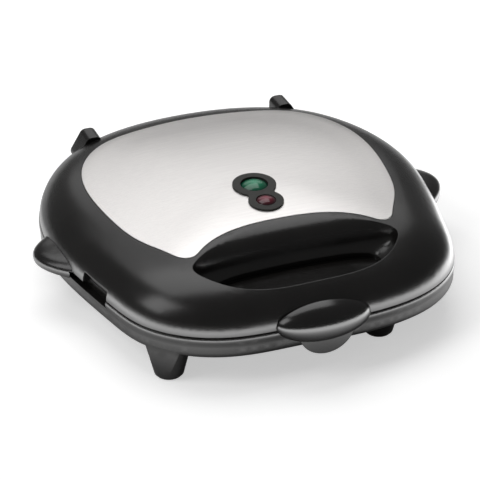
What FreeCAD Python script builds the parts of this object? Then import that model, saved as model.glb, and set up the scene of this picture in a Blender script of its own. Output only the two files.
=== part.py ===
import FreeCAD, Part
import math
import os

# Sandwich maker: a hinged lid over a base on four feet, with two pocketed plates, a latch and two lamps.
# Millimetres. The front is -Y, +Z is up, and the feet stand on z = 0.

os.makedirs("parts", exist_ok=True)
V = FreeCAD.Vector

# Body outline at the parting line, as shares of the half width and of the depth from the widest line
half_width = 119.0
front_y = -120.0
rear_y = 128.0
widest_y = 15.0
front_shape = [(0, 1), (0.422, 0.981), (0.641, 0.904), (0.802, 0.763), (0.894, 0.533), (0.965, 0.252)]
rear_shape = [(1, 0), (0.967, 0.30), (0.875, 0.541), (0.70, 0.773), (0.417, 0.936), (0, 1)]

# Heights
parting_z = 32.0
parting_gap = 0.3
crown_z = 64.0
underside_z = 17.8
belly_z = 6.0

# Walls and clearances
wall = 2.5
base_wall = 2.2
fit_gap = 0.4
touch_gap = 0.05
moving_gap = 0.6
pin_gap = 0.04

# Lid shoulder: an elliptic turn from the upright skirt into the dome
shoulder_reach = 40.0
shoulder_rise = 24.5
shoulder_turn = 70.0
dome_centre_y = 5.0
dome_step = 0.1175

# Base corner under the side wall
base_corner = 4.0

# Steel cover, half outline from front to rear
cover_half = [(0, -49.5), (24, -51.3), (42, -56.8), (52.5, -63.5), (58.5, -67.2), (64, -65.5), (68.5, -59),
              (80.5, -35.5), (87, -10), (90.2, 20), (88, 47), (79, 69), (62, 85.5), (35, 93.5), (0, 97)]
cover_proud = 0.15
cover_sheet = 0.7
cover_gap = 0.35

# Finger well sections: rise above the floor, half width, lean of the front wall and rear y
well_floor = 6.5
well_grip = 14.0
well_end_y = -77.0
well_sections = [(0, 50, 6, -69), (6.5, 55, 3.5, -68), (11.5, 60, 0, -66), (16.5, 61.5, 0, -63.5),
                 (19.5, 63, 0, -60), (21.5, 65, 0, -55.5), (22.7, 67, 0, -51), (25.5, 74, 0, -42)]
grip_half_width = 70.0
grip_depth = 25.0

# Side lugs, rear lugs and side notches, with heights from the parting line
side_lug_out = 11.3
side_lug_y = 8.5
side_lug_droop = 4.0
side_lug_rise = 9.0
side_lug_ahead = 38.0
side_lug_behind = 27.0
side_lug_root = 10.0
side_lug_gap = 1.4
rear_lug_x = 63.0
rear_lug_drop = 10.0
rear_lug_setback = 16.0
rear_lug_depth = 14.0
rear_lug_round = 4.0
rear_lug_inner = 4.0
rear_lug_outer = 16.0
rear_lug_top = 5.0
rear_lug_rise = 4.0
notch_front = -55.5
notch_rear = -30.0
notch_depth = 5.0
notch_rise = 6.5
base_notch_rear = -4.0
base_notch_drop = 4.5

# Rear hinge
hinge_setback = 10.0
hinge_rise = 2.0
hinge_wall_gap = 8.0
hinge_roof_gap = 8.5
hinge_recess_half = 60.0
hinge_eye = 6.5
hinge_pin_radius = 2.0
hinge_arm = (26.0, 36.0)
hinge_knuckles = [(14.0, 25.6), (36.4, 46.0)]
hinge_pin_ends = (13.0, 47.0)
hinge_web = 3.0

# Latch
latch_half_width = 29.0
latch_bulge = 14.5
latch_half_height = 12.2
latch_setback = 3.0
latch_rise = 1.6
latch_wall = 2.0
latch_pivot_lead = 1.5
latch_pivot_rise = 6.3
latch_pin_radius = 1.5
latch_boss_half = 11.0
latch_boss_radius = 2.8
latch_boss_root = 8.0
latch_cheek = 3.0
latch_swing = 25.0
latch_base_gap = 1.4
tab_half_width = 16.5
tab_thickness = 3.0
tab_back_gap = 1.0
tab_top_drop = 5.0
tab_bottom_drop = 17.5

# Indicator lamps: place on the centre line, bezel radius and lens radius
ready_lamp = (-12.4, 13.0, 8.2)
power_lamp = (-31.5, 10.4, 5.85)
bezel_height = 1.0
bezel_rim = 2.2
bezel_waist = 3.0
bezel_depth = 7.0
lens_rise = 2.4
lens_ball_share = 1.6

# Cooking plates
plate_half_width = 100.0
plate_front = -42.0
plate_rear = 86.0
plate_corner = 28.0
plate_flange = 3.0
plate_gap = 0.15
pocket_inner_x = 6.0
pocket_margin = 6.0
pocket_depth = 9.0
pocket_ridge = 2.5
pocket_taper = 7.0
pocket_corner = 8.0
pocket_floor_corner = 5.0
plate_skin = 2.5
boss_radius = 4.5
boss_length = 15.0
post_radius = 6.0
plate_screw_y = (8.0, 62.0)
plate_screw_radius = 1.9
plate_screw_grip = 11.0
screw_head_radius = 3.8
screw_head_height = 2.4
screw_slot = 1.0
lower_head_sink = 0.6
upper_head_room = 5.0
upper_post_room = 1.4

# Plate frames
frame_drop = 0.6
frame_thickness = 2.6
frame_ledge = 3.0
frame_ledge_thickness = 2.0
frame_screws = [(80.0, -85.0), (107.0, 15.0), (84.0, 91.0)]
frame_boss_radius = 4.0
frame_screw_radius = 1.4
frame_screw_length = 9.0
frame_head_radius = 3.0
frame_head_height = 1.65

# Heating elements and reflectors
element_radius = 3.3
element_half_width = 70.0
element_front = -24.0
element_rear = 62.0
element_ends_x = 14.0
element_ends_y = 88.0
element_bend = 12.0
reflector_sheet = 0.6
reflector_gap = 0.25
reflector_margin = 6.0
reflector_corner = 10.0

# Belly of the base round the lower plate
belly_side_inset = 6.0
belly_front_room = 14.0
belly_rear_room = 11.0
belly_draft = 6.0

# Feet
front_left_foot = (-82.0, -91.0)
front_right_foot = (46.0, -93.0)
rear_foot = (76.0, 76.0)
foot_top_radius = 13.5
foot_bottom_radius = 8.5
foot_edge = 0.3
pad_radius = 7.4
pad_height = 2.2
pad_seat = 1.2

# Wiring
gland_bore = 3.5
gland_sleeve = 1.5
gland_flange = 5.7
gland_flange_thickness = 2.0
gland_collar = 7.0
gland_drop = 6.2
wire_radius = 1.2
wire_drop = 1.0
wire_spacing = 3.8
wire_start = 6.0
lead_radius = 1.0
wire_bend = 3.0
block_size = (24.0, 12.0, 7.0)
block_corner = (24.0, 76.0)
block_holes = [(29.5, 83.5), (40.0, 79.0), (34.5, 85.5), (44.0, 85.5)]
fuse_radius = 2.0
fuse_y = 35.0
fuse_span = (-36.0, -24.0)
fuse_lead = 6.0
thermostat_radius = 7.0
thermostat_height = 4.5

# Heights and places worked out from the sizes above
lid_edge_z = parting_z + parting_gap
base_edge_z = parting_z - parting_gap
well_floor_z = parting_z + well_floor
hinge_y = rear_y - hinge_setback
hinge_z = parting_z + hinge_rise
hinge_recess_y = hinge_y - hinge_wall_gap
hinge_roof_z = hinge_z + hinge_roof_gap
latch_centre_y = front_y + latch_setback
latch_centre_z = parting_z + latch_rise
latch_pivot_y = front_y - latch_pivot_lead
latch_pivot_z = parting_z + latch_pivot_rise
bezel_depth_z = crown_z - bezel_depth
frame_high_z = parting_z - frame_drop
frame_low_z = frame_high_z - frame_thickness
plate_top_z = parting_z - plate_gap
plate_low_z = plate_top_z - plate_flange
boss_ends_z = plate_low_z - boss_length
cup_low_z = plate_top_z - pocket_depth - plate_skin
element_z = cup_low_z - element_radius - touch_gap
reflector_top_z = element_z - element_radius - reflector_gap
reflector_low_z = reflector_top_z - reflector_sheet
tray_floor_z = underside_z + base_wall
belly_floor_z = belly_z + base_wall
lower_head_z = belly_z + screw_head_height + lower_head_sink
upper_head_z = 2 * parting_z - boss_ends_z + upper_head_room
gland_z = base_edge_z - gland_drop
gland_end_y = hinge_recess_y - base_wall - fit_gap
above = crown_z + 10.0

# Shift that centres the box of the closed appliance on the origin
plan_shift = -0.5 * (latch_centre_y - latch_bulge + hinge_y + hinge_eye)


def box(x, y, z):
    """Box from three (low, high) pairs."""
    size = [high - low for low, high in (x, y, z)]
    return Part.makeBox(size[0], size[1], size[2], V(x[0], y[0], z[0]))


def upright(x, y, z, radius):
    """Cylinder along Z, from the low to the high of z."""
    return Part.makeCylinder(radius, z[1] - z[0], V(x, y, z[0]))


def cross(x, y, z, radius):
    """Cylinder along X, from the low to the high of x."""
    return Part.makeCylinder(radius, x[1] - x[0], V(x[0], y, z), V(1, 0, 0))


def lengthwise(y, z, radius):
    """Cylinder along Y on the middle plane, from the low to the high of y."""
    return Part.makeCylinder(radius, y[1] - y[0], V(0, y[0], z), V(0, 1, 0))


def pair(shape):
    """A shape and its mirror image across the middle plane."""
    return [shape, shape.mirror(V(0, 0, 0), V(1, 0, 0))]


def upper(z):
    """Height of the lid feature that mirrors a base feature at height z."""
    return 2 * parting_z - z


def across_parting(shape):
    """The shape seen across the parting plane."""
    return shape.mirror(V(0, 0, parting_z), V(0, 0, 1))


def joined(shapes):
    """One solid from touching shapes."""
    return shapes[0].multiFuse(shapes[1:])


def carved(shape, tools):
    """A shape with every tool cut out of it."""
    for tool in tools:
        shape = shape.cut(tool)
    return shape


def whole_outline(half):
    """All points of an outline from its right half, anticlockwise from the front."""
    return half + [(-x, y) for x, y in reversed(half[1:-1])]


def smooth_curve(points, z):
    """Closed smooth curve through plan points at height z."""
    curve = Part.BSplineCurve()
    curve.interpolate([V(x, y, z) for x, y in points], PeriodicFlag=True)
    return curve


def inset_points(points, inset):
    """Plan points moved inwards, square to the smooth curve through them."""
    curve = smooth_curve(points, 0)
    moved = []
    for x, y in points:
        along = curve.tangent(curve.parameter(V(x, y, 0)))[0]
        moved.append((x - inset * along.y, y + inset * along.x))
    return moved


def smooth_wire(points, z):
    """Closed smooth wire through plan points at height z."""
    return Part.Wire(smooth_curve(points, z).toShape())


def smooth_prism(points, z):
    """Upright solid on a smooth outline, from the low to the high of z."""
    return Part.Face(smooth_wire(points, z[0])).extrude(V(0, 0, z[1] - z[0]))


def corner_edges(points, radius, closed):
    """Straight edges joined by arcs of one radius at the corners."""
    count = len(points)
    edges = []
    last = None if closed else points[0]
    first = points[-1]
    for i in range(count) if closed else range(1, count - 1):
        back = (points[i - 1] - points[i]).normalize()
        ahead = (points[(i + 1) % count] - points[i]).normalize()
        half = back.getAngle(ahead) / 2
        middle = (back + ahead).normalize()
        start = points[i] + back * (radius / math.tan(half))
        end = points[i] + ahead * (radius / math.tan(half))
        top = points[i] + middle * (radius / math.sin(half) - radius)
        if last is None:
            first = start
        else:
            edges.append(Part.LineSegment(last, start).toShape())
        edges.append(Part.Arc(start, top, end).toShape())
        last = end
    edges.append(Part.LineSegment(last, first).toShape())
    return edges


def rounded_wire(points, radius, z):
    """Closed level polygon wire with rounded corners."""
    return Part.Wire(corner_edges([V(x, y, z) for x, y in points], radius, True))


def rectangle(x, y):
    """Corner points of a rectangle, anticlockwise."""
    return [(x[0], y[0]), (x[1], y[0]), (x[1], y[1]), (x[0], y[1])]


def rounded_slab(x, y, radius, z):
    """Upright slab with rounded corners."""
    face = Part.Face(rounded_wire(rectangle(x, y), radius, z[0]))
    return face.extrude(V(0, 0, z[1] - z[0]))


def inset_polygon(points, inset):
    """An anticlockwise polygon with each side moved inwards."""
    count = len(points)
    lines = []
    for i in range(count):
        a = V(*points[i], 0)
        b = V(*points[(i + 1) % count], 0)
        along = (b - a).normalize()
        lines.append((a + V(-along.y, along.x, 0) * inset, along))
    moved = []
    for i in range(count):
        start, u = lines[i - 1]
        other, w = lines[i]
        gap = other - start
        reach = (gap.x * w.y - gap.y * w.x) / (u.x * w.y - u.y * w.x)
        corner = start + u * reach
        moved.append((corner.x, corner.y))
    return moved


def tube(points, bend, radius):
    """Round bar along straight runs with rounded bends."""
    route = [V(*point) for point in points]
    path = Part.Wire(corner_edges(route, bend, False))
    ring = Part.Wire(Part.makeCircle(radius, route[0], route[1] - route[0]))
    return path.makePipeShell([ring], True, False)


# Forms that several pieces share

front_points = [(u * half_width, widest_y + v * (front_y - widest_y)) for u, v in front_shape]
rear_points = [(u * half_width, widest_y + v * (rear_y - widest_y)) for u, v in rear_shape]
body_outline = whole_outline(front_points + rear_points)
cover_outline = whole_outline(cover_half)
shoulder_steps = [shoulder_turn * step / 5 for step in range(6)]
dome_scales = [1 - dome_step * step for step in range(1, 9)]
feet_places = [front_left_foot, front_right_foot, rear_foot, (-rear_foot[0], rear_foot[1])]
frame_screw_places = [(side * x, y) for x, y in frame_screws for side in (1, -1)]


def body_wire(inset, z):
    """Body outline moved inwards, at height z."""
    return smooth_wire(inset_points(body_outline, inset), z)


def body_prism(inset, z):
    """Upright solid on the body outline moved inwards."""
    return smooth_prism(inset_points(body_outline, inset), z)


def lid_form(skin):
    """Solid of the lid's outer form moved inwards by skin, standing on the lid's edge."""
    wires = []
    for turn in shoulder_steps:
        angle = math.radians(turn)
        inset = shoulder_reach * (1 - math.cos(angle)) + skin * math.cos(angle)
        height = lid_edge_z + (shoulder_rise - skin) * math.sin(angle)
        wires.append(body_wire(inset, height))
    edge = inset_points(body_outline, inset)
    for scale in dome_scales:
        points = [(x * scale, dome_centre_y + (y - dome_centre_y) * scale) for x, y in edge]
        wires.append(smooth_wire(points, height + (crown_z - skin - height) * (1 - scale ** 2)))
    return Part.makeLoft(wires, True)


def well_form(grow):
    """Finger well as a solid, with its walls moved outwards by grow."""
    wires = []
    for rise, half, lean, rear in well_sections:
        side = half + grow
        low = front_y + well_grip - lean - grow
        high = rear + grow
        back = high - well_end_y
        shape = [(0, low), (0.35 * side, low + 0.2), (0.68 * side, low + 4.5), (0.92 * side, low + 16),
                 (side, well_end_y), (0.86 * side, well_end_y + 0.5 * back),
                 (0.5 * side, well_end_y + 0.86 * back), (0, high)]
        wires.append(smooth_wire(whole_outline(shape), well_floor_z + rise - grow))
    return Part.makeLoft(wires, True)


def side_lug():
    """Right side lug: a wing that flares out of the skirt and droops past the parting line."""
    inner = half_width - side_lug_root
    low = parting_z - side_lug_droop
    high = parting_z + side_lug_rise
    wires = []
    for share, z in ((1, low), (1, lid_edge_z), (0.6, 0.5 * (lid_edge_z + high)), (0, high)):
        ahead = side_lug_ahead * (0.5 + 0.5 * share)
        behind = side_lug_behind * (0.5 + 0.5 * share)
        reach = half_width - 0.8 * side_lug_root * (1 - share) + side_lug_out * share
        flank = inner + 0.45 * (reach - inner)
        shape = [(inner - 6, side_lug_y - ahead), (flank, side_lug_y - 0.62 * ahead),
                 (reach - 1.5, side_lug_y - 0.22 * ahead), (reach, side_lug_y),
                 (reach - 1.5, side_lug_y + 0.22 * behind), (flank, side_lug_y + 0.62 * behind),
                 (inner - 6, side_lug_y + behind), (inner - 8, side_lug_y)]
        wires.append(smooth_wire(shape, z))
    return Part.makeLoft(wires, True).cut(body_prism(-side_lug_gap, (0, lid_edge_z)))


def rear_lug():
    """Right rear lug: a rounded fin, long on its outer side, that the appliance can stand on."""
    x = rear_lug_x
    low = parting_z + rear_lug_rise
    high = crown_z - rear_lug_drop
    inner = x - rear_lug_inner
    profile = [(inner, low), (x + rear_lug_outer, low), (x + rear_lug_top, high), (inner, high)]
    wire = rounded_wire(profile, rear_lug_round, 0)
    wire.rotate(V(0, 0, 0), V(1, 0, 0), 90)
    wire.translate(V(0, rear_y - rear_lug_setback, 0))
    return Part.Face(wire).extrude(V(0, -rear_lug_depth, 0))


def notch(front, rear, z, depth):
    """Right side notch: what lies outside the outline moved in by depth."""
    block = box((0.75 * half_width, half_width + side_lug_out + 5), (front, rear), z)
    return block.cut(body_prism(depth, (z[0] - 1, z[1] + 1)))


def lid_notch(grow):
    """Both notches in the lid's skirt, with their walls moved outwards by grow."""
    z = (0, parting_z + notch_rise + grow)
    return pair(notch(notch_front - grow, notch_rear + grow, z, notch_depth + grow))


def base_notch(grow):
    """Both notches in the base's edge, with their walls moved outwards by grow."""
    low = parting_z - base_notch_drop - grow
    return pair(notch(notch_front - grow, base_notch_rear + grow, (low, above), notch_depth + grow))


def hinge_recess(grow, z):
    """Recess in the rear of both shells, with its walls moved outwards by grow."""
    half = hinge_recess_half + grow
    return box((-half, half), (hinge_recess_y - grow, rear_y + 10), z)


def belly_form(inset, z):
    """Tub under the lower plate, tapering downwards."""
    half = plate_half_width - belly_side_inset - inset
    front = plate_front - belly_front_room + inset
    rear = plate_rear + belly_rear_room - inset
    draft = belly_draft
    low = rectangle((draft - half, half - draft), (front + draft, rear - draft))
    high = rectangle((-half, half), (front, rear))
    wires = [rounded_wire(low, plate_corner, z[0]), rounded_wire(high, plate_corner, z[1])]
    return Part.makeLoft(wires, True)


def plate_slab(grow, z):
    """Rounded slab of the plate's size, moved outwards by grow."""
    half = plate_half_width + grow
    return rounded_slab((-half, half), (plate_front - grow, plate_rear + grow), plate_corner + grow, z)


def lamp_neck(grow, z):
    """Neck of the lamp bezel, or the hole for it."""
    lamps = (ready_lamp, power_lamp)
    return joined([upright(0, y, z, radius - bezel_rim + grow) for y, radius, lens in lamps])


# Lid

def lid_knuckle(low, high):
    """One lid hinge eye with the web that joins it to the recess."""
    eye = cross((low, high), hinge_y, hinge_z, hinge_eye)
    web = box((low, high), (hinge_recess_y - 1, hinge_y - hinge_web), (hinge_z, hinge_roof_z + 1))
    return eye.fuse(web)


def latch_boss():
    """Block on the front of the lid that carries the latch pin."""
    x = (-latch_boss_half, latch_boss_half)
    eye = cross(x, latch_pivot_y, latch_pivot_z, latch_boss_radius)
    y = (latch_pivot_y, latch_pivot_y + latch_boss_root)
    root = box(x, y, (latch_pivot_z - latch_boss_radius, latch_pivot_z))
    return eye.fuse(root)


def lid_shell():
    """Lid casing with finger well, lugs, notches, hinge knuckles and inner bosses."""
    blank = smooth_prism(inset_points(cover_outline, -cover_gap), (lid_edge_z + wall, above))
    seat = lid_form(cover_sheet - cover_proud + touch_gap).common(blank)
    body = joined([lid_form(0).cut(blank), seat] + pair(side_lug()) + pair(rear_lug()))
    room = lid_form(wall).fuse(body_prism(wall, (lid_edge_z - wall, lid_edge_z + 1)))
    grip_y = (front_y - wall, front_y + grip_depth)
    grip = box((-grip_half_width, grip_half_width), grip_y, (well_floor_z - wall, above))
    posts = [upright(0, y, (upper(boss_ends_z) + upper_post_room, above), post_radius) for y in plate_screw_y]
    posts += [upright(x, y, (upper(frame_low_z), above), frame_boss_radius) for x, y in frame_screw_places]
    solid = [well_form(wall), grip, hinge_recess(wall, (0, hinge_roof_z + wall))]
    room = carved(room, solid + lid_notch(wall) + posts)
    holes = [lamp_neck(fit_gap, (parting_z, above))]
    holes += [upright(0, y, (parting_z, above), plate_screw_radius + fit_gap) for y in plate_screw_y]
    holes += [upright(0, y, (upper_head_z - touch_gap, above), boss_radius) for y in plate_screw_y]
    screw_top = upper(frame_high_z) + frame_screw_length + 1
    holes += [upright(x, y, (parting_z, screw_top), frame_screw_radius) for x, y in frame_screw_places]
    shell = carved(body, [room, well_form(0), hinge_recess(0, (0, hinge_roof_z))] + lid_notch(0) + holes)
    knuckles = [eye for low, high in hinge_knuckles for eye in pair(lid_knuckle(low, high))]
    shell = joined([shell, latch_boss()] + knuckles)
    pin_way = (hinge_knuckles[0][0] - 2, hinge_knuckles[1][1] + 2)
    bores = pair(cross(pin_way, hinge_y, hinge_z, hinge_pin_radius + pin_gap))
    latch_way = (-latch_boss_half - 1, latch_boss_half + 1)
    bores.append(cross(latch_way, latch_pivot_y, latch_pivot_z, latch_pin_radius + pin_gap))
    return carved(shell, bores)


def lid_steel_cover():
    """Steel sheet laid in the top of the lid."""
    blank = smooth_prism(cover_outline, (parting_z, above))
    sheet = lid_form(-cover_proud).cut(lid_form(cover_sheet - cover_proud))
    return blank.common(sheet).cut(lamp_neck(fit_gap, (parting_z, above)))


def indicator_bezel():
    """Bezel round both lamps: a flange on the cover and a neck through it."""
    lamps = (ready_lamp, power_lamp)
    discs = joined([upright(0, y, (parting_z, above), radius) for y, radius, lens in lamps])
    waist = [edge for edge in discs.Edges
             if edge.BoundBox.ZLength > 1 and abs(edge.CenterOfMass.x) < power_lamp[1] - 1]
    discs = discs.makeFillet(bezel_waist, waist)
    seat = cover_proud + touch_gap
    crown = lid_form(-seat - bezel_height)
    flange = discs.common(crown.cut(lid_form(-seat)))
    neck = lamp_neck(0, (bezel_depth_z, above)).common(crown)
    bores = [upright(0, y, (parting_z, above), lens + touch_gap) for y, radius, lens in lamps]
    return carved(flange.fuse(neck), bores)


def lamp_lens(lamp):
    """Domed lens on a plain shank."""
    y, radius, lens = lamp
    top = crown_z + lens_rise * lens / ready_lamp[2]
    ball = lens * lens_ball_share
    dome = Part.makeSphere(ball, V(0, y, top - ball))
    middle = 0.5 * (bezel_depth_z + top)
    foot = upright(0, y, (bezel_depth_z, middle), lens)
    head = upright(0, y, (middle, top), lens).common(dome)
    return foot.fuse(head)


def lamp_holder():
    """Carrier under the lid's dome that holds the lamps below their lenses."""
    y = (power_lamp[0] - power_lamp[1] + bezel_rim, ready_lamp[0] + ready_lamp[1] - bezel_rim)
    side = ready_lamp[2] + 0.8
    low = upper(reflector_low_z) + 0.6
    tray = box((-side, side), y, (low, low + 1.2))
    cheek = box((side - 0.6, side + 0.6), y, (low, bezel_depth_z - touch_gap))
    return joined([tray] + pair(cheek))


def neon_lamps():
    """Two small neon lamps lying in their holder."""
    bulb = 1.7
    axis_z = upper(reflector_low_z) + 1.8 + touch_gap + bulb
    lamps = []
    for y, radius, lens in (ready_lamp, power_lamp):
        glass = cross((-5, 4), y, axis_z, bulb)
        lamps.append(glass.fuse(Part.makeSphere(bulb, V(4, y, axis_z))))
    return Part.makeCompound(lamps)


def thermal_fuse():
    """Thermal fuse lying on the upper reflector."""
    low, high = fuse_span
    axis_z = upper(reflector_low_z) + touch_gap + fuse_radius
    leads = cross((low - fuse_lead, high + fuse_lead), fuse_y, axis_z, 0.5)
    return cross(fuse_span, fuse_y, axis_z, fuse_radius).fuse(leads)


def lid_wires():
    """Wires of the lid: from both ends of the element and from the fuse towards the hinge."""
    low, high = fuse_span
    high_z = upper(reflector_low_z) + touch_gap + fuse_radius
    low_z = upper(element_z)
    x = element_ends_x
    start = element_ends_y + touch_gap
    turn = element_ends_y + 4
    end = hinge_recess_y - wall - fit_gap
    out = 0.8 * hinge_recess_half
    side = low - fuse_lead - 6
    routes = [
        [(-x, start, low_z), (-x, turn, low_z), (-x, turn, high_z), (-x, fuse_y, high_z),
         (high + fuse_lead + touch_gap, fuse_y, high_z)],
        [(x, start, low_z), (x, turn, low_z), (out, turn, low_z), (out, end, low_z)],
        [(low - fuse_lead - touch_gap, fuse_y, high_z), (side, fuse_y, high_z),
         (side, element_rear + 18, high_z),
         (side, element_rear + 18, low_z), (side, end, low_z)],
    ]
    return Part.makeCompound([tube(route, 0.6 * wire_bend, lead_radius) for route in routes])


# Latch

def egg(grow):
    """Oval solid of the latch, moved outwards by grow."""
    scale = FreeCAD.Matrix()
    scale.scale(latch_half_width + grow, latch_bulge + grow, latch_half_height + grow)
    oval = Part.makeSphere(1.0).transformGeometry(scale)
    oval.translate(V(0, latch_centre_y, latch_centre_z))
    return oval


def finger_tab():
    """Half-moon tab under the latch."""
    half = tab_half_width
    top = parting_z - tab_top_drop
    arc = Part.Arc(V(-half, 0, top), V(0, 0, parting_z - tab_bottom_drop), V(half, 0, top))
    chord = Part.LineSegment(V(half, 0, top), V(-half, 0, top))
    face = Part.Face(Part.Wire([arc.toShape(), chord.toShape()]))
    face.translate(V(0, front_y - moving_gap - tab_back_gap, 0))
    return face.extrude(V(0, -tab_thickness, 0))


def latch_clip():
    """Latch: a hollow oval cap with a half-moon finger tab, on two cheeks round the pin."""
    low = latch_boss_half + fit_gap
    slab = box((low, low + latch_cheek), (front_y - latch_bulge, front_y + latch_bulge),
               (latch_centre_z - latch_half_height, latch_centre_z + latch_half_height))
    cheek = slab.common(egg(-0.5 * latch_wall))
    latch = joined([egg(0).cut(egg(-latch_wall)), finger_tab()] + pair(cheek))
    latch = latch.cut(body_prism(-latch_base_gap, (0, lid_edge_z)))
    lid = lid_form(-moving_gap)
    for turn in (0, 0.5 * latch_swing, latch_swing):
        moved = lid.copy()
        moved.rotate(V(0, latch_pivot_y, latch_pivot_z), V(1, 0, 0), turn)
        latch = latch.cut(moved)
    half = low + latch_cheek + touch_gap
    return latch.cut(cross((-half, half), latch_pivot_y, latch_pivot_z, latch_pin_radius + touch_gap))


def latch_pivot_pin():
    """Pin of the latch, held in its cheeks."""
    half = latch_boss_half + fit_gap + latch_cheek
    return cross((-half, half), latch_pivot_y, latch_pivot_z, latch_pin_radius)


# Base

def base_arm():
    """Right base hinge arm."""
    eye = cross(hinge_arm, hinge_y, hinge_z, hinge_eye)
    web = box(hinge_arm, (hinge_recess_y - 1, hinge_y), (underside_z + base_corner, base_edge_z))
    return eye.fuse(web)


def base_shell():
    """Base tray with belly, feet, hinge arms and inner bosses."""
    sections = [(base_edge_z, 0), (0.5 * (base_edge_z + underside_z + base_corner), 0)]
    for step in range(4):
        angle = math.radians(30 * step)
        level = underside_z + base_corner * (1 - math.sin(angle))
        sections.append((level, base_corner * (1 - math.cos(angle))))
    tray = Part.makeLoft([body_wire(inset, z) for z, inset in reversed(sections)], True)
    height = underside_z + base_corner - pad_seat
    within = body_prism(foot_edge, (0, base_edge_z))
    feet = [Part.makeCone(foot_bottom_radius, foot_top_radius, height, V(x, y, pad_seat)).common(within)
            for x, y in feet_places]
    body = joined([tray, belly_form(0, (belly_z, underside_z + 1))] + feet)
    room = body_prism(base_wall, (tray_floor_z + 2, above))
    room = room.fuse(body_prism(base_wall + base_corner - 2, (tray_floor_z, tray_floor_z + 3)))
    room = room.fuse(belly_form(base_wall, (belly_floor_z, tray_floor_z + 1)))
    posts = [upright(x, y, (underside_z, frame_low_z), frame_boss_radius) for x, y in frame_screw_places]
    posts += [upright(0, y, (belly_z, reflector_low_z - touch_gap), post_radius) for y in plate_screw_y]
    room = carved(room, [hinge_recess(base_wall, (0, above))] + base_notch(base_wall) + posts)
    shell = carved(body, [room, hinge_recess(0, (0, above))] + base_notch(0))
    shell = joined([shell] + pair(base_arm()))
    arm_way = (hinge_arm[0] - 2, hinge_arm[1] + 2)
    holes = pair(cross(arm_way, hinge_y, hinge_z, hinge_pin_radius + 0.5 * pin_gap))
    holes += [upright(x, y, (tray_floor_z, parting_z), frame_screw_radius) for x, y in frame_screw_places]
    holes += [upright(0, y, (0, parting_z), plate_screw_radius + fit_gap) for y in plate_screw_y]
    holes += [upright(0, y, (0, lower_head_z), boss_radius) for y in plate_screw_y]
    holes += [upright(x, y, (0, pad_height), pad_radius + touch_gap) for x, y in feet_places]
    gland_way = (hinge_recess_y - 2 * base_wall, hinge_recess_y + base_wall)
    holes.append(lengthwise(gland_way, gland_z, gland_bore + gland_sleeve + touch_gap))
    return carved(shell, holes)


def foot_pads():
    """Rubber pads let into the feet."""
    return Part.makeCompound([upright(x, y, (0, pad_height - touch_gap), pad_radius) for x, y in feet_places])


def hinge_pins():
    """Two hinge pins, fixed in the base arms."""
    return Part.makeCompound(pair(cross(hinge_pin_ends, hinge_y, hinge_z, hinge_pin_radius)))


def cord_gland():
    """Gland in the rear wall of the base that the cord would leave by."""
    face_y = hinge_recess_y + touch_gap
    flange = lengthwise((face_y, face_y + gland_flange_thickness), gland_z, gland_flange)
    sleeve = lengthwise((gland_end_y, face_y + gland_collar), gland_z, gland_bore + gland_sleeve)
    return flange.fuse(sleeve).cut(lengthwise((gland_end_y, face_y + gland_collar), gland_z, gland_bore))


def thermostat():
    """Disc thermostat on the lower reflector, between the screw bosses."""
    low = reflector_top_z + touch_gap
    y = 0.5 * sum(plate_screw_y)
    disc = upright(0, y, (low, low + thermostat_height), thermostat_radius)
    cap = upright(0, y, (low + thermostat_height, low + thermostat_height + 1.6), thermostat_radius - 2)
    blade = box((thermostat_radius - 1, thermostat_radius + 4), (y - 1.5, y + 1.5), (low + 1, low + 1.8))
    return joined([disc, cap] + pair(blade))


def terminal_block():
    """Terminal block on the floor of the belly, behind the element."""
    x, y = block_corner
    width, depth, height = block_size
    low = belly_floor_z + touch_gap
    block = box((x, x + width), (y, y + depth), (low, low + height))
    top = low + height
    return carved(block, [upright(x, y, (low + 2, top), wire_radius + touch_gap) for x, y in block_holes])


def base_wires():
    """Wires of the base: two from the gland and two from the element, all into the terminal block."""
    end_z = belly_floor_z + 3
    wire_z = gland_z - wire_drop
    lead_z = element_z + element_radius + 2
    half = 0.5 * wire_spacing
    routes = []
    for (x, y), side in zip(block_holes[:2], (half, -half)):
        route = [(side, gland_end_y - wire_start, wire_z), (side, y, wire_z), (x, y, wire_z), (x, y, end_z)]
        routes.append((route, wire_radius))
    for (x, y), side, z in zip(block_holes[2:], (1, -1), (element_z, lead_z)):
        ends = side * element_ends_x
        turn = element_ends_y + 3
        route = [(ends, element_ends_y + touch_gap, element_z), (ends, turn, element_z)]
        if z != element_z:
            route.append((ends, turn, z))
        route += [(x, turn, z), (x, y, z), (x, y, end_z)]
        routes.append((route, lead_radius))
    return Part.makeCompound([tube(route, 0.5 * wire_bend, radius) for route, radius in routes])


# Pieces that the base and the lid both have: made for the base and mirrored for the lid

def pocket_triangles():
    """Plan corners of the four triangular pockets, each anticlockwise."""
    left = pocket_inner_x
    right = plate_half_width - pocket_margin
    low = plate_front + pocket_margin
    high = plate_rear - pocket_margin
    right_pair = [[(left, low), (right, low), (right, high)], [(left, low), (right, high), (left, high)]]
    left_pair = [[(-x, y) for x, y in reversed(corners)] for corners in right_pair]
    return right_pair + left_pair


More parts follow.
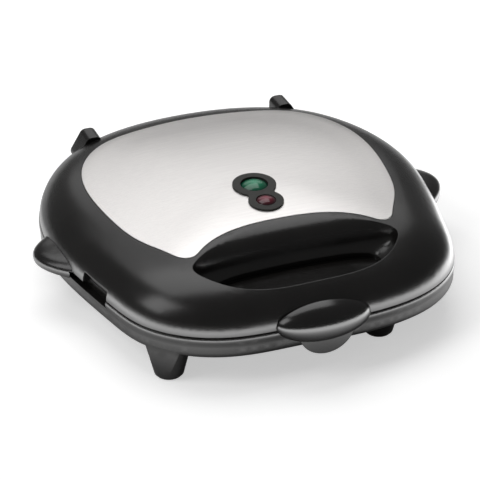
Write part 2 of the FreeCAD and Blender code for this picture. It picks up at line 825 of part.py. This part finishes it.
def cooking_plate():
    """Lower plate: flange, four triangular cups and two screw bosses."""
    solids = [plate_slab(0, (plate_low_z, plate_top_z))]
    hollows = []
    for corners in pocket_triangles():
        floor_inset = pocket_ridge + pocket_taper
        mouth = rounded_wire(inset_polygon(corners, pocket_ridge), pocket_corner, plate_top_z)
        floor_z = plate_top_z - pocket_depth
        floor = rounded_wire(inset_polygon(corners, floor_inset), pocket_floor_corner, floor_z)
        hollows.append(Part.makeLoft([floor, mouth], True))
        rim_inset = pocket_ridge - plate_skin + 1
        rim = rounded_wire(inset_polygon(corners, rim_inset), pocket_corner, plate_low_z + 1)
        base = rounded_wire(inset_polygon(corners, floor_inset - plate_skin), pocket_floor_corner, cup_low_z)
        solids.append(Part.makeLoft([base, rim], True))
    solids += [upright(0, y, (boss_ends_z, plate_low_z + 1), boss_radius) for y in plate_screw_y]
    hole_top = boss_ends_z + plate_screw_grip + 1
    holes = [upright(0, y, (0, hole_top), plate_screw_radius + touch_gap) for y in plate_screw_y]
    return carved(joined(solids), hollows + holes)


def plate_frame():
    """Lower frame: flat deck round the plate with a ledge under the plate's flange."""
    gap = wall + fit_gap
    deck = body_prism(gap, (frame_low_z, frame_high_z))
    ledge = plate_slab(frame_ledge, (frame_low_z - frame_ledge_thickness, frame_low_z + 0.5))
    tools = [plate_slab(fit_gap, (frame_low_z, above)), plate_slab(-frame_ledge, (0, above))]
    tools += [hinge_recess(gap, (0, above))] + base_notch(gap)
    tools += [upright(x, y, (0, above), frame_screw_radius + fit_gap) for x, y in frame_screw_places]
    seat_z = frame_high_z - 0.1 - frame_head_height - touch_gap
    tools += [upright(x, y, (seat_z, above), frame_head_radius + fit_gap) for x, y in frame_screw_places]
    return carved(deck.fuse(ledge), tools)


def frame_screw_set():
    """Lower frame screws, heads let into the deck."""
    top = frame_high_z - 0.1
    low = top - frame_head_height
    screws = []
    for x, y in frame_screw_places:
        head = upright(x, y, (low, top), frame_head_radius)
        shank = upright(x, y, (top - frame_screw_length, low + 0.1), frame_screw_radius - touch_gap)
        slot = box((x - frame_head_radius, x + frame_head_radius), (y - 0.4, y + 0.4), (top - 0.7, top + 1))
        screws.append(head.fuse(shank).cut(slot))
    return Part.makeCompound(screws)


def plate_screw_set(head_z, tip_z):
    """Plate screws from the seat of the head to the tip."""
    way = math.copysign(1, tip_z - head_z)
    outer = head_z - way * screw_head_height
    half = screw_head_radius
    screws = []
    for y in plate_screw_y:
        shank = upright(0, y, sorted((head_z - way, tip_z)), plate_screw_radius)
        head = upright(0, y, sorted((outer, head_z)), half)
        across = (y - 0.5 * screw_slot, y + 0.5 * screw_slot)
        slot = box((-half, half), across, sorted((outer, outer + way * screw_slot)))
        screws.append(head.fuse(shank).cut(slot))
    return Part.makeCompound(screws)


def heating_element():
    """Lower heating element: one bent tube under the plate's cups."""
    x = element_half_width
    ends = element_ends_x
    route = [(-ends, element_ends_y), (-ends, element_rear), (-x, element_rear), (-x, element_front),
             (x, element_front), (x, element_rear), (ends, element_rear), (ends, element_ends_y)]
    return tube([(px, py, element_z) for px, py in route], element_bend, element_radius)


def heat_reflector():
    """Lower reflector sheet, with holes for the plate screws."""
    margin = element_radius + reflector_margin
    half = element_half_width + margin
    span = (element_front - margin, element_rear + margin)
    sheet = rounded_slab((-half, half), span, reflector_corner, (reflector_low_z, reflector_top_z))
    return carved(sheet, [upright(0, y, (0, above), plate_screw_radius + fit_gap) for y in plate_screw_y])


def export(name, shape):
    """Write one node and print its solids, volume and box."""
    placed = shape.translated(V(0, plan_shift, 0))
    placed.exportStep("parts/" + name + ".step")
    size = placed.BoundBox
    print("%-22s solids %d valid %s volume %9.1f  x %.2f %.2f y %.2f %.2f z %.2f %.2f" % (
        name, len(placed.Solids), placed.isValid(), placed.Volume,
        size.XMin, size.XMax, size.YMin, size.YMax, size.ZMin, size.ZMax))


lower_plate = cooking_plate()
lower_frame = plate_frame()
lower_element = heating_element()
lower_reflector = heat_reflector()
lower_frame_screws = frame_screw_set()

export("base_shell", base_shell())
export("foot_pads", foot_pads())
export("lower_plate_frame", lower_frame)
export("lower_frame_screws", lower_frame_screws)
export("lower_cooking_plate", lower_plate)
export("lower_plate_screws", plate_screw_set(lower_head_z, boss_ends_z + plate_screw_grip))
export("lower_heating_element", lower_element)
export("lower_heat_reflector", lower_reflector)
export("thermostat", thermostat())
export("terminal_block", terminal_block())
export("base_wires", base_wires())
export("cord_gland", cord_gland())
export("hinge_pins", hinge_pins())

export("lid_shell", lid_shell())
export("lid_steel_cover", lid_steel_cover())
export("indicator_bezel", indicator_bezel())
export("ready_lamp_lens", lamp_lens(ready_lamp))
export("power_lamp_lens", lamp_lens(power_lamp))
export("lamp_holder", lamp_holder())
export("neon_lamps", neon_lamps())
export("upper_plate_frame", across_parting(lower_frame))
export("upper_frame_screws", across_parting(lower_frame_screws))
export("upper_cooking_plate", across_parting(lower_plate))
export("upper_plate_screws", plate_screw_set(upper_head_z, upper(boss_ends_z + plate_screw_grip)))
export("upper_heating_element", across_parting(lower_element))
export("upper_heat_reflector", across_parting(lower_reflector))
export("thermal_fuse", thermal_fuse())
export("lid_wires", lid_wires())

export("latch_clip", latch_clip())
export("latch_pivot_pin", latch_pivot_pin())
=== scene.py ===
"""Looks of a sandwich maker: finishes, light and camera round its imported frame."""
import logging
import math
from dataclasses import dataclass
from enum import Enum
from typing import Any, Dict, List, Sequence, Tuple, Union

import bmesh
import bpy
from mathutils import Matrix, Vector


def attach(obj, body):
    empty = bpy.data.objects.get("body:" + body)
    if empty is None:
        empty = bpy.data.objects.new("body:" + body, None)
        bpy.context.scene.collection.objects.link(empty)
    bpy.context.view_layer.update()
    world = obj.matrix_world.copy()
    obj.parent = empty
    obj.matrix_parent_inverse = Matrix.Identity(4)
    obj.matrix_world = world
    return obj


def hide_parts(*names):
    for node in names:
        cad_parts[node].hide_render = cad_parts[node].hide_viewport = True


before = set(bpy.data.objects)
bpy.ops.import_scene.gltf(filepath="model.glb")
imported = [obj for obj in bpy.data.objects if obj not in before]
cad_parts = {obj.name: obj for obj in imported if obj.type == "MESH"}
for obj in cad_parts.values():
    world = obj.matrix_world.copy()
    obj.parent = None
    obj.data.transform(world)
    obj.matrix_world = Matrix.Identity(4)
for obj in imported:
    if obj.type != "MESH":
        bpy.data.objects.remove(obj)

log = logging.getLogger("sandwich_maker")

Span = Tuple[float, float]
Triple = Tuple[float, float, float]
Colour = Triple
Number = Union["Wire", float]
MERGE_DISTANCE = 0.00001
BEVEL_SAMPLES = 6


class Body(Enum):
    """The bodies that a piece can ride on."""

    BASE = "base"
    LID = "lid"
    LATCH = "latch"


class Wire:
    """One socket of a shader, with arithmetic that adds Math nodes."""

    def __init__(self, graph: "Graph", socket: bpy.types.NodeSocket) -> None:
        """Keep the socket and the graph that it belongs to.

        Args:
            graph: The graph that new nodes go to.
            socket: The output socket that holds the value.
        """
        self.graph = graph
        self.socket = socket

    def _math(self, operation: str, first: Number, second: Number) -> "Wire":
        """Add one Math node.

        Args:
            operation: Name of the Math node's operation.
            first: First value.
            second: Second value.

        Returns:
            The node's result.
        """
        return self.graph.add("ShaderNodeMath", {"operation": operation}, {0: first, 1: second})

    def __add__(self, other: Number) -> "Wire":
        """Sum."""
        return self._math("ADD", self, other)

    def __radd__(self, other: Number) -> "Wire":
        """Sum with a number on the left."""
        return self._math("ADD", other, self)

    def __sub__(self, other: Number) -> "Wire":
        """Difference."""
        return self._math("SUBTRACT", self, other)

    def __rsub__(self, other: Number) -> "Wire":
        """Difference from a number."""
        return self._math("SUBTRACT", other, self)

    def __mul__(self, other: Number) -> "Wire":
        """Product."""
        return self._math("MULTIPLY", self, other)

    def __rmul__(self, other: Number) -> "Wire":
        """Product with a number on the left."""
        return self._math("MULTIPLY", other, self)

    def __truediv__(self, other: Number) -> "Wire":
        """Quotient."""
        return self._math("DIVIDE", self, other)

    def __pow__(self, other: Number) -> "Wire":
        """Power."""
        return self._math("POWER", self, other)

    def sine(self) -> "Wire":
        """Sine of an angle in radians."""
        return self.graph.add("ShaderNodeMath", {"operation": "SINE"}, {0: self})

    def step(self, low: float, high: float) -> "Wire":
        """Soft step from 0 below one value to 1 above another.

        Args:
            low: Value where the step starts.
            high: Value where it ends.

        Returns:
            The step, from 0 to 1.
        """
        ends = {"Value": self, "From Min": low, "From Max": high, "To Min": 0.0, "To Max": 1.0}
        return self.graph.add("ShaderNodeMapRange", {"interpolation_type": "SMOOTHSTEP", "clamp": True}, ends)


class Graph:
    """The node tree of one material or of the sky."""

    def __init__(self, name: str, sky: bool = False) -> None:
        """Start an empty material or sky.

        Args:
            name: Name of the material or sky.
            sky: Whether it is the sky.
        """
        self.sky = sky
        self.block = bpy.data.worlds.new(name) if sky else bpy.data.materials.new(name)
        self.block.use_nodes = True
        self.tree = self.block.node_tree
        self.tree.nodes.clear()

    def add(self, kind: str, settings: Dict[str, Any], inputs: Dict[Any, Any],
            output: Union[int, str] = 0) -> Wire:
        """Add a node, set it and connect it.

        Args:
            kind: Type name of the node.
            settings: Properties of the node, with a ramp's stops under "stops".
            inputs: Values or wires by socket name or number.
            output: The output that is wanted.

        Returns:
            The wanted output.
        """
        node = self.tree.nodes.new(kind)
        for key, value in settings.items():
            if key == "stops":
                self._set_stops(node.color_ramp, value)
            else:
                setattr(node, key, value)
        for key, value in inputs.items():
            if isinstance(value, Wire):
                self.tree.links.new(value.socket, node.inputs[key])
            else:
                node.inputs[key].default_value = value
        return Wire(self, node.outputs[output])

    @staticmethod
    def _set_stops(ramp: bpy.types.ColorRamp, stops: Sequence[Tuple[float, Colour]]) -> None:
        """Give a colour ramp its stops.

        Args:
            ramp: The ramp.
            stops: Place and colour of each stop.
        """
        while len(ramp.elements) < len(stops):
            ramp.elements.new(1.0)
        for element, (place, colour) in zip(ramp.elements, stops):
            element.position = place
            element.color = (*colour, 1.0)

    def place(self) -> Wire:
        """Object coordinates, in metres."""
        return self.add("ShaderNodeTexCoord", {}, {}, "Object")

    def axis(self, name: str) -> Wire:
        """One of the object coordinates X, Y and Z."""
        return self.add("ShaderNodeSeparateXYZ", {}, {0: self.place()}, name)

    def ray(self, kind: str) -> Wire:
        """1 for rays of a kind, such as Camera, and 0 for others."""
        return self.add("ShaderNodeLightPath", {}, {}, "Is %s Ray" % kind)

    def noise(self, scale: Sequence[float], detail: float) -> Wire:
        """Noise from 0 to 1.

        Args:
            scale: Grains per metre along each axis.
            detail: Levels of finer noise.

        Returns:
            The noise.
        """
        spot = self.add("ShaderNodeMapping", {}, {"Vector": self.place(), "Scale": tuple(scale)})
        return self.add("ShaderNodeTexNoise", {}, {"Vector": spot, "Scale": 1.0, "Detail": detail})

    def blend(self, share: Wire, first: Colour, second: Colour) -> Wire:
        """Mix two colours.

        Args:
            share: 0 for the first and 1 for the second.
            first: First colour.
            second: Second colour.

        Returns:
            The mixed colour.
        """
        ends = {0: share, 6: (*first, 1.0), 7: (*second, 1.0)}
        return self.add("ShaderNodeMix", {"data_type": "RGBA"}, ends, 2)

    def relief(self, height: Wire, depth: float, strength: float, rounding: float) -> Wire:
        """Bump on edges that are rounded off.

        Args:
            height: The bump's height, from 0 to 1.
            depth: Depth of the bump in metres.
            strength: Share of the bump that shows.
            rounding: Radius of the rounded edges in metres.

        Returns:
            The normal.
        """
        edge = self.add("ShaderNodeBevel", {"samples": BEVEL_SAMPLES}, {"Radius": rounding})
        bump = {"Strength": strength, "Distance": depth, "Height": height, "Normal": edge}
        return self.add("ShaderNodeBump", {}, bump)

    def surface(self, inputs: Dict[str, Any]) -> bpy.types.Material:
        """End the material in one surface shader.

        Args:
            inputs: Values or wires of the shader.

        Returns:
            The material.
        """
        shader = self.add("ShaderNodeBsdfPrincipled", {}, inputs)
        self.add_output(shader)
        return self.block

    def add_output(self, shader: Wire) -> None:
        """Send a shader to the output."""
        node = self.tree.nodes.new("ShaderNodeOutputWorld" if self.sky else "ShaderNodeOutputMaterial")
        self.tree.links.new(shader.socket, node.inputs["Surface"])


@dataclass(frozen=True)
class MouldedPlastic:
    """Moulded plastic with a fine grain."""

    name: str
    colour: Colour
    sheen_colour: Colour
    roughness: float
    specular: float
    grain_scale: float = 2200.0
    rounding: float = 0.0005
    cloud_scale: float = 38.0
    cloud_span: Span = (0.35, 0.7)
    variation: float = 0.05
    grain_depth: float = 0.00004
    grain_strength: float = 0.35

    def material(self) -> bpy.types.Material:
        """Build the finish.

        Returns:
            The material.
        """
        graph = Graph(self.name)
        cloud = graph.noise((self.cloud_scale,) * 3, detail=3.0)
        grain = graph.noise((self.grain_scale,) * 3, detail=1.0)
        return graph.surface({
            "Base Color": graph.blend(cloud.step(*self.cloud_span), self.colour, self.sheen_colour),
            "Roughness": self.roughness + self.variation * (cloud - 0.5) + self.variation * (grain - 0.5),
            "Specular IOR Level": self.specular,
            "Normal": graph.relief(grain, self.grain_depth, self.grain_strength, self.rounding),
        })


@dataclass(frozen=True)
class SatinSteel:
    """Steel sheet with a fine grain drawn from side to side."""

    name: str
    colour: Colour
    dark_colour: Colour
    roughness: float
    stroke_scale: Triple = (40.0, 5200.0, 5200.0)
    broad_scale: Triple = (14.0, 1400.0, 1400.0)
    stroke_share: float = 0.6
    broad_share: float = 0.4
    grain_span: Span = (0.3, 0.7)
    variation: float = 0.10
    stroke_depth: float = 0.00002
    stroke_strength: float = 0.25
    rounding: float = 0.0003

    def material(self) -> bpy.types.Material:
        """Build the finish.

        Returns:
            The material.
        """
        graph = Graph(self.name)
        strokes = graph.noise(self.stroke_scale, detail=2.0)
        broad = graph.noise(self.broad_scale, detail=1.0)
        grain = self.stroke_share * strokes + self.broad_share * broad
        return graph.surface({
            "Base Color": graph.blend(grain.step(*self.grain_span), self.dark_colour, self.colour),
            "Metallic": 1.0,
            "Roughness": self.roughness + self.variation * (grain - 0.5),
            "Normal": graph.relief(strokes, self.stroke_depth, self.stroke_strength, self.rounding),
        })


@dataclass(frozen=True)
class BareMetal:
    """Plated or rolled metal with faint stains."""

    name: str
    colour: Colour
    stain: Colour
    roughness: float
    metallic: float = 1.0
    stain_scale: float = 70.0
    stain_span: Span = (0.42, 0.68)
    stain_variation: float = 0.12
    scuff_scale: Triple = (1500.0, 300.0, 1500.0)
    scuff_variation: float = 0.06
    scuff_depth: float = 0.00003
    scuff_strength: float = 0.3
    rounding: float = 0.0003

    def material(self) -> bpy.types.Material:
        """Build the finish.

        Returns:
            The material.
        """
        graph = Graph(self.name)
        stains = graph.noise((self.stain_scale,) * 3, detail=4.0)
        scuff = graph.noise(self.scuff_scale, detail=1.0)
        uneven = self.stain_variation * (stains - 0.5)
        return graph.surface({
            "Base Color": graph.blend(stains.step(*self.stain_span), self.colour, self.stain),
            "Metallic": self.metallic,
            "Roughness": self.roughness + uneven + self.scuff_variation * (scuff - 0.5),
            "Normal": graph.relief(scuff, self.scuff_depth, self.scuff_strength, self.rounding),
        })


@dataclass(frozen=True)
class SpeckledCoating:
    """Dark baked coating with fine pale specks."""

    name: str
    colour: Colour
    speck: Colour
    roughness: float
    specular: float = 0.5
    speck_scale: float = 900.0
    speck_span: Span = (0.66, 0.74)
    peel_scale: float = 420.0
    variation: float = 0.10
    peel_depth: float = 0.00005
    peel_strength: float = 0.4
    rounding: float = 0.0006

    def material(self) -> bpy.types.Material:
        """Build the finish.

        Returns:
            The material.
        """
        graph = Graph(self.name)
        specks = graph.noise((self.speck_scale,) * 3, detail=1.0)
        orange_peel = graph.noise((self.peel_scale,) * 3, detail=2.0)
        return graph.surface({
            "Base Color": graph.blend(specks.step(*self.speck_span), self.colour, self.speck),
            "Roughness": self.roughness + self.variation * (orange_peel - 0.5),
            "Specular IOR Level": self.specular,
            "Normal": graph.relief(orange_peel, self.peel_depth, self.peel_strength, self.rounding),
        })


@dataclass(frozen=True)
class LensGlass:
    """Coloured lens with painted light that makes it pale in the middle and painted shade that darkens its
    rim, over its own colour, with fine rings under its face.
    """

    name: str
    centre_y: float
    radius: float
    # The middle colour is painted light, the body colour is the lens's own colour, and the rim colour is
    # painted shade.
    painted_light_core: Colour
    body: Colour
    painted_shade_rim: Colour
    body_share: float = 0.62
    ring_radians: float = 46.0
    ring_tint: float = 0.03
    ring_depth: float = 0.00003
    ring_strength: float = 0.3
    rounding: float = 0.0004
    roughness: float = 0.16
    variation: float = 0.05
    specular: float = 0.35
    coat: float = 0.25
    coat_roughness: float = 0.08

    def material(self) -> bpy.types.Material:
        """Build the finish.

        Returns:
            The material.
        """
        graph = Graph(self.name)
        x = graph.axis("X")
        y = graph.axis("Y") - self.centre_y
        share = (x * x + y * y) ** 0.5 / self.radius
        rings = (share * self.ring_radians).sine()
        # The ramp runs from painted light in the middle, through the lens's own colour, to painted shade at
        # the rim.
        stops = [(0.0, self.painted_light_core), (self.body_share, self.body), (1.0, self.painted_shade_rim)]
        colour = graph.add("ShaderNodeValToRGB", {"stops": stops}, {0: share + self.ring_tint * rings})
        height = rings * 0.5 + 0.5
        return graph.surface({
            "Base Color": colour,
            "Roughness": self.roughness + self.variation * rings,
            "Specular IOR Level": self.specular,
            "Coat Weight": self.coat,
            "Coat Roughness": self.coat_roughness,
            "Normal": graph.relief(height, self.ring_depth, self.ring_strength, self.rounding),
        })


@dataclass(frozen=True)
class ClearGlass:
    """Thin clear glass with a warm tint."""

    name: str
    tint: Colour
    roughness: float = 0.04
    cloud_scale: float = 400.0
    variation: float = 0.06
    clearness: float = 0.85

    def material(self) -> bpy.types.Material:
        """Build the finish.

        Returns:
            The material.
        """
        graph = Graph(self.name)
        cloud = graph.noise((self.cloud_scale,) * 3, detail=1.0)
        return graph.surface({
            "Base Color": (*self.tint, 1.0),
            "Roughness": self.roughness + self.variation * cloud,
            "Transmission Weight": self.clearness,
        })


@dataclass(frozen=True)
class WovenSleeve:
    """Pale woven sleeve of a wire, with painted shade in the hollows of its weave."""

    name: str
    thread: Colour
    painted_gap_shade: Colour
    roughness: float = 0.75
    variation: float = 0.1
    weave_radians: float = 9000.0
    weave_depth: float = 0.0001
    weave_strength: float = 0.5
    rounding: float = 0.0002

    def material(self) -> bpy.types.Material:
        """Build the finish.

        Returns:
            The material.
        """
        graph = Graph(self.name)
        x, y, z = (graph.axis(name) for name in "XYZ")
        first = ((x + y + z) * self.weave_radians).sine()
        second = ((x - y - z) * self.weave_radians).sine()
        weave = first * second * 0.5 + 0.5
        return graph.surface({
            # The darker colour where the weave is low is painted shade between the threads.
            "Base Color": graph.blend(weave, self.painted_gap_shade, self.thread),
            "Roughness": self.roughness + self.variation * weave,
            "Normal": graph.relief(weave, self.weave_depth, self.weave_strength, self.rounding),
        })


Finish = Union[MouldedPlastic, SatinSteel, BareMetal, SpeckledCoating, LensGlass, ClearGlass, WovenSleeve]

CASING = MouldedPlastic("black_casing", (0.0072, 0.0066, 0.0062), (0.0095, 0.0088, 0.0083), 0.25, 0.5)
LATCH_CASING = MouldedPlastic("black_latch", (0.0072, 0.0068, 0.0065), (0.0095, 0.009, 0.0086), 0.2, 0.55)
INNER_FRAME = MouldedPlastic("inner_frame", (0.017, 0.017, 0.0165), (0.022, 0.0215, 0.021), 0.52, 0.4)
BEZEL = MouldedPlastic("lamp_surround", (0.026, 0.026, 0.023), (0.031, 0.031, 0.028), 0.5, 0.25,
                       grain_scale=2600.0, rounding=0.0004)
PALE_RESIN = MouldedPlastic("pale_resin", (0.60, 0.57, 0.50), (0.66, 0.63, 0.56), 0.55, 0.4)
PAD_RUBBER = MouldedPlastic("pad_rubber", (0.014, 0.014, 0.014), (0.022, 0.022, 0.021), 0.78, 0.3,
                            grain_scale=1200.0)
COVER_STEEL = SatinSteel("satin_steel", (0.80, 0.78, 0.765), (0.72, 0.70, 0.69), 0.34)
COATING = SpeckledCoating("plate_coating", (0.012, 0.012, 0.0125), (0.05, 0.05, 0.05), 0.42)
ELEMENT = BareMetal("heated_tube", (0.17, 0.155, 0.145), (0.26, 0.20, 0.15), 0.45, metallic=0.9)
SHEET = BareMetal("rolled_sheet", (0.80, 0.80, 0.81), (0.72, 0.71, 0.70), 0.26)
ZINC = BareMetal("zinc_plate", (0.36, 0.36, 0.37), (0.27, 0.265, 0.255), 0.42)
SLEEVE = WovenSleeve("woven_sleeve", (0.62, 0.60, 0.55), (0.36, 0.34, 0.30))
LAMP_GLASS = ClearGlass("lamp_glass", (0.95, 0.86, 0.78))


def dress(piece: bpy.types.Object, material: bpy.types.Material) -> None:
    """Give a piece one material.

    Args:
        piece: The piece.
        material: Its material.
    """
    if len(piece.material_slots) == 0:
        piece.data.materials.append(material)
    for slot in piece.material_slots:
        slot.material = material


def smooth_copy(node: str, name: str, body: Body, angle: float) -> bpy.types.Object:
    """Copy a node's mesh, merge its loose triangles and shade it smooth between sharp edges.

    Args:
        node: The node that the copy stands for.
        name: Name of the new piece.
        body: Body that it rides on.
        angle: Edges that turn by more than this, in degrees, stay sharp.

    Returns:
        The new piece.
    """
    mesh = bpy.data.meshes.new(name)
    work = bmesh.new()
    work.from_mesh(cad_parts[node].data)
    bmesh.ops.remove_doubles(work, verts=work.verts, dist=MERGE_DISTANCE)
    for face in work.faces:
        face.smooth = True
    limit = math.radians(angle)
    for edge in work.edges:
        edge.smooth = len(edge.link_faces) == 2 and edge.calc_face_angle(0.0) < limit
    work.to_mesh(mesh)
    work.free()
    piece = bpy.data.objects.new(name, mesh)
    bpy.context.scene.collection.objects.link(piece)
    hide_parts(node)
    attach(piece, body.value)
    return piece


def dress_copies(finishes: Dict[str, Finish], body: Body, angle: float) -> List[str]:
    """Replace nodes of one body by smooth copies and give each its finish.

    Args:
        finishes: Finish of each node.
        body: Body that the nodes ride on.
        angle: Edges that turn by more than this, in degrees, stay sharp.

    Returns:
        Names of the dressed nodes.
    """
    for node, finish in finishes.items():
        dress(smooth_copy(node, node + "_dressed", body, angle), finish.material())
    return list(finishes)


@dataclass
class Base:
    """The base's casing on its pads."""

    sharp_angle: float = 35.0

    def build(self) -> List[str]:
        """Dress the base and return the names of its dressed nodes."""
        return dress_copies({"base_shell": CASING, "foot_pads": PAD_RUBBER}, Body.BASE, self.sharp_angle)


@dataclass
class Lid:
    """The lid's casing, steel cover and lamps."""

    ready_y: float = -0.0089
    ready_radius: float = 0.0082
    power_y: float = -0.028
    power_radius: float = 0.00585
    sharp_angle: float = 35.0

    def build(self) -> List[str]:
        """Dress the lid.

        Returns:
            Names of the dressed nodes.
        """
        # Each lens gets a painted-light middle colour, its own colour, and a painted-shade rim colour.
        green = LensGlass("green_lens", self.ready_y, self.ready_radius,
                          (0.02, 0.31, 0.16), (0.006, 0.15, 0.072), (0.002, 0.03, 0.02))
        red = LensGlass("red_lens", self.power_y, self.power_radius,
                        (0.24, 0.02, 0.05), (0.11, 0.010, 0.022), (0.02, 0.004, 0.006))
        finishes = {"lid_shell": CASING, "lid_steel_cover": COVER_STEEL, "indicator_bezel": BEZEL,
                    "ready_lamp_lens": green, "power_lamp_lens": red}
        return dress_copies(finishes, Body.LID, self.sharp_angle)


@dataclass
class Latch:
    """The front latch."""

    sharp_angle: float = 40.0

    def build(self) -> List[str]:
        """Dress the latch and return the name of its dressed node."""
        return dress_copies({"latch_clip": LATCH_CASING}, Body.LATCH, self.sharp_angle)


@dataclass
class Works:
    """Plates, heaters, fixings and wiring, which keep their solids."""

    finishes: Tuple[Tuple[Finish, Tuple[str, ...]], ...] = (
        (COATING, ("lower_cooking_plate", "upper_cooking_plate")),
        (INNER_FRAME, ("lower_plate_frame", "upper_plate_frame", "cord_gland")),
        (ELEMENT, ("lower_heating_element", "upper_heating_element")),
        (SHEET, ("lower_heat_reflector", "upper_heat_reflector", "thermal_fuse")),
        (ZINC, ("lower_frame_screws", "upper_frame_screws", "lower_plate_screws", "upper_plate_screws",
                "hinge_pins", "latch_pivot_pin", "thermostat")),
        (PALE_RESIN, ("terminal_block", "lamp_holder")),
        (SLEEVE, ("base_wires", "lid_wires")),
        (LAMP_GLASS, ("neon_lamps",)),
    )

    def build(self) -> List[str]:
        """Dress every inner node.

        Returns:
            Names of the dressed nodes.
        """
        dressed = []
        for finish, nodes in self.finishes:
            material = finish.material()
            for node in nodes:
                dress(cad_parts[node], material)
                dressed.append(node)
        return dressed


@dataclass(frozen=True)
class Panel:
    """A soft panel of light that faces the object, in metres and watts."""

    name: str
    spot: Triple
    size: Span
    power: float
    target: Triple = (0.0, 0.0, 0.04)

    def build(self) -> None:
        """Add the panel to the scene."""
        light = bpy.data.lights.new(self.name, "AREA")
        light.shape = "RECTANGLE"
        light.size, light.size_y = self.size
        light.energy = self.power
        panel = bpy.data.objects.new(self.name, light)
        bpy.context.scene.collection.objects.link(panel)
        panel.location = self.spot
        aim = Vector(self.target) - Vector(self.spot)
        panel.rotation_euler = aim.to_track_quat("-Z", "Y").to_euler()


@dataclass
class Studio:
    """Floor, light and the camera at the photograph's place."""

    # The camera, round a point on the floor.
    azimuth: float = -21.15
    elevation: float = 31.0
    distance: float = 1.3
    lens: float = 159.9
    sensor: float = 36.0
    far_clip: float = 20.0
    aim_right: float = -0.0031
    aim_up: float = 0.0131
    middle_y: float = 0.0035
    # The floor, lifted to white for the camera and more so far off.
    floor_half: float = 4.0
    floor_colour: Colour = (0.86, 0.86, 0.86)
    floor_lift: float = 0.5
    far_lift: float = 0.7
    far_reach: float = 1.3
    # In reflections the floor has a painted shadow under the object and behind it, and a painted pool of
    # light in front.
    painted_reflection_lift: float = 7.5
    painted_shadow_reach: float = 0.12
    bright_reach: float = 0.25
    painted_light_y: float = -0.05
    painted_shade_y: float = 0.2
    # The light from all round and from the panels.
    sky: float = 0.17
    panels: Tuple[Panel, ...] = (
        Panel("rear_panel", (0.45, 1.5, 0.95), (1.5, 0.8), 3.0),
        Panel("left_panel", (-1.3, 0.0, 1.25), (0.8, 1.0), 8.0),
        Panel("top_panel", (0.0, 0.75, 1.65), (1.7, 1.2), 14.0),
    )

    def build(self) -> None:
        """Make the whole studio."""
        bpy.context.scene.view_settings.view_transform = "Standard"
        self.add_floor()
        self.add_sky()
        for panel in self.panels:
            panel.build()
        self.add_camera()

    def add_floor(self) -> None:
        """A pale floor that keeps the real shadow, and shows a painted shadow and a painted pool of light to
        reflections only.
        """
        mesh = bpy.data.meshes.new("floor")
        work = bmesh.new()
        bmesh.ops.create_grid(work, x_segments=1, y_segments=1, size=self.floor_half)
        work.to_mesh(mesh)
        work.free()
        floor = bpy.data.objects.new("floor", mesh)
        bpy.context.scene.collection.objects.link(floor)
        graph = Graph("pale_floor")
        seen, mirrored, through = (graph.ray(kind) for kind in ("Camera", "Glossy", "Transmission"))
        x, y = graph.axis("X"), graph.axis("Y")
        reach = (x * x + y * y) ** 0.5
        near = self.floor_lift + self.far_lift * reach.step(self.bright_reach, self.far_reach)
        # Painted pool of light for reflections: painted shadow near the object and behind it, bright in
        # front.
        painted_pool_mask = reach.step(self.painted_shadow_reach, self.bright_reach) * (1.0 - y.step(self.painted_light_y, self.painted_shade_y))
        # Glossy rays see the painted pool of light; camera and transmission rays see the even white lift.
        lift = (seen + through) * near + mirrored * painted_pool_mask * self.painted_reflection_lift
        glow = graph.add("ShaderNodeEmission", {}, {"Color": lift, "Strength": 1.0})
        matt = graph.add("ShaderNodeBsdfDiffuse", {}, {"Color": (*self.floor_colour, 1.0)})
        graph.add_output(graph.add("ShaderNodeAddShader", {}, {0: matt, 1: glow}))
        dress(floor, graph.block)

    def add_sky(self) -> None:
        """Even light from all round, white where the camera sees it."""
        graph = Graph("studio", sky=True)
        level = self.sky + (1.0 - self.sky) * graph.ray("Camera")
        graph.add_output(graph.add("ShaderNodeBackground", {}, {"Color": level, "Strength": 1.0}))
        bpy.context.scene.world = graph.block

    def add_camera(self) -> None:
        """The camera at the photograph's viewing angle."""
        turn, tilt = math.radians(self.azimuth), math.radians(self.elevation)
        back = Vector((math.sin(turn) * math.cos(tilt), -math.cos(turn) * math.cos(tilt), math.sin(tilt)))
        right = Vector((math.cos(turn), math.sin(turn), 0.0))
        up = back.cross(right)
        data = bpy.data.cameras.new("camera")
        data.lens = self.lens
        data.sensor_width = self.sensor
        data.clip_end = self.far_clip
        camera = bpy.data.objects.new("camera", data)
        bpy.context.scene.collection.objects.link(camera)
        aim = (self.aim_right * right + self.aim_up * up - back).normalized()
        camera.location = back * self.distance + Vector((0.0, self.middle_y, 0.0))
        side = aim.cross(up).normalized()
        camera.rotation_euler = Matrix((side, side.cross(aim), -aim)).transposed().to_euler()
        bpy.context.scene.camera = camera


def main() -> None:
    """Build the sub-assemblies in order and report each piece."""
    logging.basicConfig(level=logging.INFO, format="%(name)s: %(message)s")
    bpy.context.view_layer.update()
    for assembly in (Base(), Lid(), Latch(), Works()):
        for piece in assembly.build():
            log.info("%s dressed %s", type(assembly).__name__, piece)
    Studio().build()


if __name__ == "__main__":
    main()
